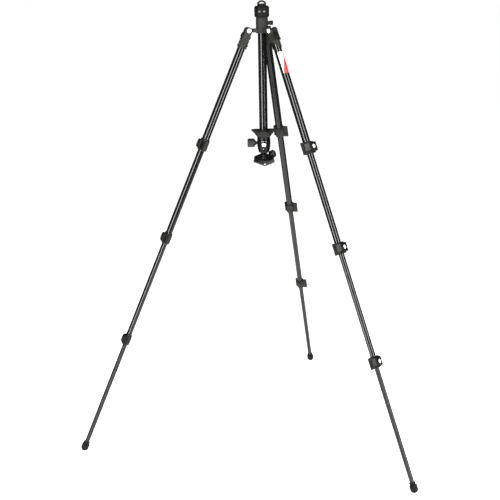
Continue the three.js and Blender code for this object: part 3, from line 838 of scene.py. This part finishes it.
def clamp_mesh():
    """The clamp's fixed side with the stem's seat; a corner is cut off, and half of the top cut lower."""
    profile = [(-23.5, -23.8), (-22, -22.3), (13.6, -22.3), (13.6, -30), (-20, -30), (-17, -36), (-23.5, -36)]
    near = [(-24, 3), (3, -24), (-30, -30)]
    step = [(-34, 35), (35, -34), (-34, -34)]
    body = carve(prism_y(profile, -22, 22), clamp_outline(), operation="INTERSECT")
    body = carve(body, prism(near, -42, -18), prism(step, -27, -18))
    cone = lathe([
        (0, -22.4), (9.6, -22.4), (10.2, -23.2), (10.9, -25.6), (12.6, -26.8), (13, -27.4), (0, -27.4),
        (0, -22.4)], 64)
    hole = shifted(lying(pin(3.4, 3, 20)), z=CLAMP_SCREW_Z)
    relief = [block(-30, -22.7, -14, 14, -33.4, -25.6)]
    relief += [block(-16, 8, -30, -21.2, -28, -24.6), block(-16, 8, 21.2, 30, -28, -24.6)]
    bolt = lathe([(0, -27.4), (2.2, -27.4), (2.2, -25.9), (1.8, -25.5), (0, -25.5)], 24)
    return group(carve(body, hole, *relief), cone, shifted(bolt, -16.5, 7))


def jaw_mesh():
    """The clamp's sliding side."""
    profile = [(14, -22.3), (21.5, -22.3), (23.5, -24.4), (23.5, -36), (17, -36), (20, -30), (14, -30)]
    body = carve(prism_y(profile, -22, 22), clamp_outline(), operation="INTERSECT")
    return carve(body, shifted(lying(pin(3.4, 10, 30)), z=CLAMP_SCREW_Z))


def clamp_knob_mesh():
    rows = [
        (0, 5), (3, 5), (3, 27.2), (5.5, 27.2), (5.9, 28.6), (7.6, 30.6), (11, 31.2), (11.8, 32), (12, 33),
        (12, 41), (11.6, 41.9), (10.6, 42.4), (7.4, 42.4), (7, 41.8), (0, 41.8)]
    return lathe(rows, 144, knurl(16, 0.09, 32.4, 41.4, 10))


def plate_mesh():
    """The quick-release plate: a dovetail, its holes, a small well, and a ridge round the level's corner."""
    half = PLATE_HALF_X
    profile = [
        (-19.4, -30.4), (19.4, -30.4), (16.4, -36.4), (half, -36.4), (half, -41.4), (-half, -41.4),
        (-half, -36.4), (-16.4, -36.4)]
    body = prism_y(profile, -PLATE_HALF_Y, PLATE_HALF_Y)
    body = carve(body, prism(rounded(half, PLATE_HALF_Y, 2.6), -50, -20), operation="INTERSECT")
    holes = [pin(3.6, -50, -20, 40), pin(7.6, -34.6, -20, 48)]
    holes += [shifted(pin(1.8, -60, -20, 24), y=y) for y in (-PLATE_SCREW_Y, PLATE_SCREW_Y)]
    well = shifted(pin(2.9, -38.4, -30), -13.2, -14.6)
    ridge = arc(9.2, -12, 102, 24, -16.6, -18.4) + arc(7.4, 102, -12, 24, -16.6, -18.4)
    return group(carve(body, *holes, well), prism(ridge, -36.6, -36.06))


def pad_mesh():
    """Two ribbed rubber pads on the plate's camera face, each with a hole for a screw."""
    pads = []
    for side in (-1, 1):
        middle = side * PAD_Y
        base = shifted(prism(rounded(20.4, 8.6, 2.6), -41.9, -41.3), y=middle)
        ribs = [block(x - 0.7, x + 0.7, middle - 7.4, middle + 7.4, -42.1, -41.8) for x in range(-18, 19, 3)]
        hole = shifted(pin(2.2, -60, -20, 24), y=side * PLATE_SCREW_Y)
        pads.append(carve(carve(base, *ribs, operation="UNION"), hole))
    return group(*pads)


def screw_mesh():
    """The camera screw: a thread and a slotted head."""
    rows = [(0, -47.4), (2.5, -47.4)]
    z = -47.0
    while z < -35:
        rows += [(2.7, z), (3.15, z + 0.32), (2.7, z + 0.64)]
        z += THREAD_PITCH
    rows += [(3.1, -34.2), (6.9, -34.2), (7.1, -34), (7.1, -31.8), (6.7, -31.4), (0, -31.4)]
    return carve(lathe(rows, 48), block(-5, 5, -0.7, 0.7, -32.6, -30))


main_frame = along_x(MAIN_KNOB_Z, MAIN_KNOB_AZIMUTH)
pan_frame = along_x(PAN_KNOB_Z, PAN_KNOB_AZIMUTH)
clamp_frame = HEAD @ Matrix.Translation((0, 0, CLAMP_SCREW_Z / 1000)) @ Matrix.Rotation(rad(90), 4, "Y")
main_badge = lathe([(0, 47.9), (8.6, 47.9), (8.6, 48.5), (8, 48.9), (0, 49)], 48)
clamp_badge = lathe([(0, 41.6), (6.2, 41.6), (6.2, 42.1), (5.8, 42.5), (0, 42.5)], 40)
clamp_dot = lathe([(0, 42.3), (1.9, 42.3), (1.9, 42.8), (1.5, 43), (0, 43)], 32)
level_rows = [(0, -37), (3.1, -37), (3.1, -35.9), (2.6, -35.3), (1.6, -34.9), (0, -34.7)]
level = shifted(lathe(level_rows, 40), -18.3, -21.1)
place("pan_base_fine", pan_base_mesh(), CENTRE, "column", "head_black", ["head_pan_base"], 0.2)
place("ball_housing_fine", ball_housing_mesh(), CENTRE, "head_housing", "head_black", ["head_ball_housing"],
      0.35)
place("housing_marks", housing_marks_mesh(), CENTRE, "head_housing", "head_black", (), 0, look="pale_ink")
place("main_knob_fine", main_knob_mesh(), main_frame, "main_knob", "rubber", ["head_main_knob"], 0.15, 50,
      look="knob_rubber")
place("main_knob_badge", main_badge, main_frame, "main_knob", "head_black", (), 0.15)
place("pan_knob_fine", pan_knob_mesh(), pan_frame, "pan_knob", "silver", ["head_pan_knob"], 0.15)
place("ball_fine", ball_mesh(), HEAD, "ball", "head_black", ["head_ball_stem"], 0.2, 40)
place("clamp_fine", clamp_mesh(), HEAD, "clamp", "head_black", ["clamp_body"], 0.5)
place("jaw_fine", jaw_mesh(), HEAD, "jaw", "head_black", ["clamp_jaw"], 0.5)
place("clamp_knob_fine", clamp_knob_mesh(), clamp_frame, "clamp_knob", "rubber", ["clamp_knob"], 0.15, 50,
      look="knob_rubber")
place("clamp_knob_badge", clamp_badge, clamp_frame, "clamp_knob", "steel", (), 0.1, look="plate_grey")
place("clamp_knob_dot", clamp_dot, clamp_frame, "clamp_knob", "silver", (), 0.1)
place("plate_fine", plate_mesh(), HEAD, "plate", "head_black", ["quick_release_plate"], 0.3,
      look="plate_grey")
place("plate_pads", pad_mesh(), HEAD, "plate", "rubber", (), 0.1)
place("camera_screw_fine", screw_mesh(), HEAD, "camera_screw", "steel", ["camera_screw"], 0.1, 50)
place("plate_level", level, HEAD, "plate", "silver", (), 0.1, 40)


# ---------------------------------------------------------------- floor, light and camera

AXIS = CENTRE.translation
FLOOR_HALF_M, FLOOR_Z_M, FLOOR_GLOW = 30, -0.0005, 0.9
BACKDROP_LIGHT, ROOM_LIGHT, ROOM_REFLECTION = 1.0, 0.12, 0.025

# The camera: its lens and sensor in millimetres, its pitch and roll, and its place in metres from the
# column's axis and above the floor
LENS_MM, SENSOR_MM = 71.64, 36
PITCH, ROLL = rad(15.98), rad(1.176)
CAMERA_EAST_M, CAMERA_SOUTH_M, CAMERA_HEIGHT_M = 0.8177, 2.8386, 1.4455


def stage_material():
    """A white floor with a glow of its own, so that it reads as an even white ground."""
    material = surface("studio_floor", (0.9, 0.9, 0.9), (0.93, 0.93, 0.93), (0.8, 0.9), grain=40, bump=0.02)
    shader = material.node_tree.nodes["Principled BSDF"]
    shader.inputs["Emission Color"].default_value = (1, 1, 1, 1)
    shader.inputs["Emission Strength"].default_value = FLOOR_GLOW
    return material


def add_floor():
    half = FLOOR_HALF_M
    mesh = bpy.data.meshes.new("studio_floor")
    corners = [(-half, -half, 0), (half, -half, 0), (half, half, 0), (-half, half, 0)]
    mesh.from_pydata(corners, [], [(0, 1, 2, 3)])
    mesh.materials.append(stage_material())
    floor = bpy.data.objects.new("studio_floor", mesh)
    bpy.context.scene.collection.objects.link(floor)
    floor.location = (0, 0, FLOOR_Z_M)
    floor.visible_glossy = False


def lamp(name, spot, width, tall, power, aim):
    """A rectangular lamp that the camera doesn't see, turned toward a point."""
    data = bpy.data.lights.new(name, "AREA")
    data.shape = "RECTANGLE"
    data.size = width
    data.size_y = tall
    data.energy = power
    made = bpy.data.objects.new(name, data)
    made.location = spot
    made.rotation_euler = (Vector(aim) - Vector(spot)).to_track_quat("-Z", "Y").to_euler()
    made.visible_camera = False
    bpy.context.scene.collection.objects.link(made)
    return made


def softbox(name, azimuth, distance, foot, width, tall, power):
    """An upright strip lamp; azimuth is its turn from the camera's side, to the right positive."""
    a = rad(-90 + VIEW_TURN + azimuth)
    x, y = AXIS.x + distance * math.cos(a), AXIS.y + distance * math.sin(a)
    height = foot + tall / 2
    return lamp(name, (x, y, height), width, tall, power, (AXIS.x, AXIS.y, height))


def add_world():
    """White to the camera, dim to surfaces, and dimmer still in their reflections."""
    world = bpy.data.worlds.new("studio")
    world.use_nodes = True
    bpy.context.scene.world = world
    tree = world.node_tree
    back = tree.nodes["Background"]
    back.inputs["Color"].default_value = (1, 1, 1, 1)
    path = tree.nodes.new("ShaderNodeLightPath")
    fill = tree.nodes.new("ShaderNodeMapRange")
    fill.inputs["To Min"].default_value = ROOM_LIGHT
    fill.inputs["To Max"].default_value = ROOM_REFLECTION
    tree.links.new(path.outputs["Is Glossy Ray"], fill.inputs["Value"])
    strength = tree.nodes.new("ShaderNodeMapRange")
    strength.inputs["To Max"].default_value = BACKDROP_LIGHT
    tree.links.new(fill.outputs["Result"], strength.inputs["To Min"])
    tree.links.new(path.outputs["Is Camera Ray"], strength.inputs["Value"])
    tree.links.new(strength.outputs["Result"], back.inputs["Strength"])
    bpy.context.scene.view_settings.view_transform = "Standard"


def add_camera():
    """A camera that looks along VIEW_TURN, pitched down, and rolled a little about its line of sight."""
    turn = rad(VIEW_TURN)
    right = Vector((math.cos(turn), math.sin(turn), 0))
    ahead = Vector((-math.sin(turn) * math.cos(PITCH), math.cos(turn) * math.cos(PITCH), -math.sin(PITCH)))
    down = ahead.cross(right)
    rolled_right = math.cos(ROLL) * right + math.sin(ROLL) * down
    rolled_down = -math.sin(ROLL) * right + math.cos(ROLL) * down
    data = bpy.data.cameras.new("view")
    data.sensor_width = SENSOR_MM
    data.lens = LENS_MM
    data.clip_end = 100
    camera = bpy.data.objects.new("view", data)
    pose = Matrix((rolled_right, -rolled_down, -ahead)).transposed().to_4x4()
    pose.translation = Vector((AXIS.x + CAMERA_EAST_M, AXIS.y - CAMERA_SOUTH_M, CAMERA_HEIGHT_M))
    camera.matrix_world = pose
    bpy.context.scene.collection.objects.link(camera)
    bpy.context.scene.camera = camera


add_floor()
softbox("left_softbox", azimuth=-33, distance=2.0, foot=-0.1, width=0.5, tall=3.0, power=58)
softbox("right_softbox", azimuth=42, distance=2.0, foot=-0.1, width=0.4, tall=3.0, power=52)
overhead_spot = (AXIS.x + 0.9, AXIS.y - 2.2, 3.2)
overhead = lamp("overhead_softbox", overhead_spot, width=2.4, tall=2.0, power=70, aim=(AXIS.x, AXIS.y, 0.9))
overhead.visible_glossy = False
bounce_spot, bounce_aim = (AXIS.x, AXIS.y, 0.002), (AXIS.x, AXIS.y + 0.001, 3)
bounce = lamp("floor_bounce", bounce_spot, width=1.9, tall=1.9, power=13, aim=bounce_aim)
bounce.visible_diffuse = False
add_world()
add_camera()
